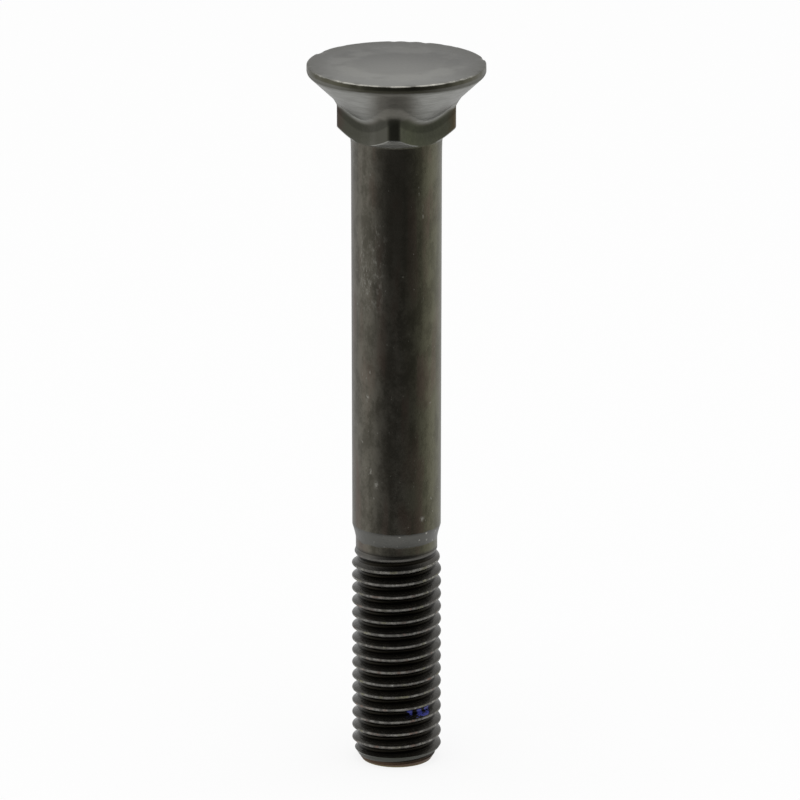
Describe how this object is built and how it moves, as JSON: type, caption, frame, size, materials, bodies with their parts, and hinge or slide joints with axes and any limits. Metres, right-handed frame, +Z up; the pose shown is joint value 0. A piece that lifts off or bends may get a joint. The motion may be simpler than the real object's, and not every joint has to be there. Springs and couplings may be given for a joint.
{
  "type": "countersunk square neck bolt",
  "caption": "Flat countersunk bolt with a short square neck, a plain shank and a right-hand rolled thread with a chamfered end.",
  "frame": {"origin": "middle of the flat face at the threaded end", "axes": "+Z up the bolt's axis, from the threaded end to the head; +Y away from the corner of the square neck that faces front"},
  "size_m": [0.0234, 0.0234, 0.0958],
  "materials": {
    "blackened_steel": "black oxide over forged steel, satin, bare and bright where edges and the shoulder are worn"
  },
  "bodies": {
    "root": {"square_neck_bolt": "blackened_steel"}
  },
  "joints": []
}
